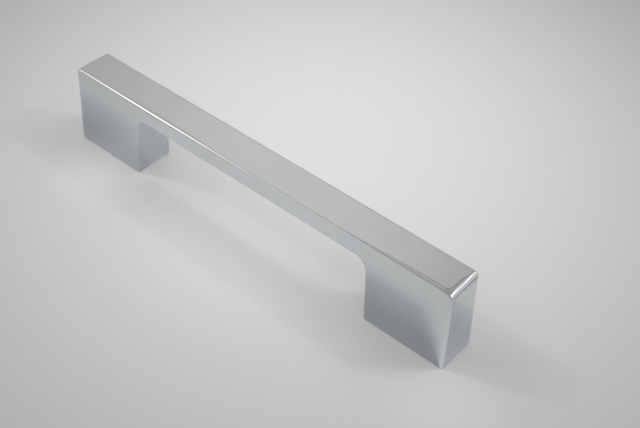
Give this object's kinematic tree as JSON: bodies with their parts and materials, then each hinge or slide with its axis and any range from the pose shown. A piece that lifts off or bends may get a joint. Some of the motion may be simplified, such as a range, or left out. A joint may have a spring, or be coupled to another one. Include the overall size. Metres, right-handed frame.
{
  "type": "cabinet bar pull",
  "caption": "Bridge-shaped cabinet pull: a flat bar on solid block feet, cast in one piece, with a tapped screw hole in the base of each foot.",
  "frame": {"origin": "centre of the two feet's base plane, midway between the screw holes", "axes": "+X along the bar, +Z out of the cabinet front, from the feet's base to the top of the bar, +Y across the bar"},
  "size_m": [0.1572, 0.0144, 0.0296],
  "materials": {
    "chrome": "bright polished chrome plate"
  },
  "bodies": {
    "root": {"pull": "chrome"}
  },
  "joints": []
}
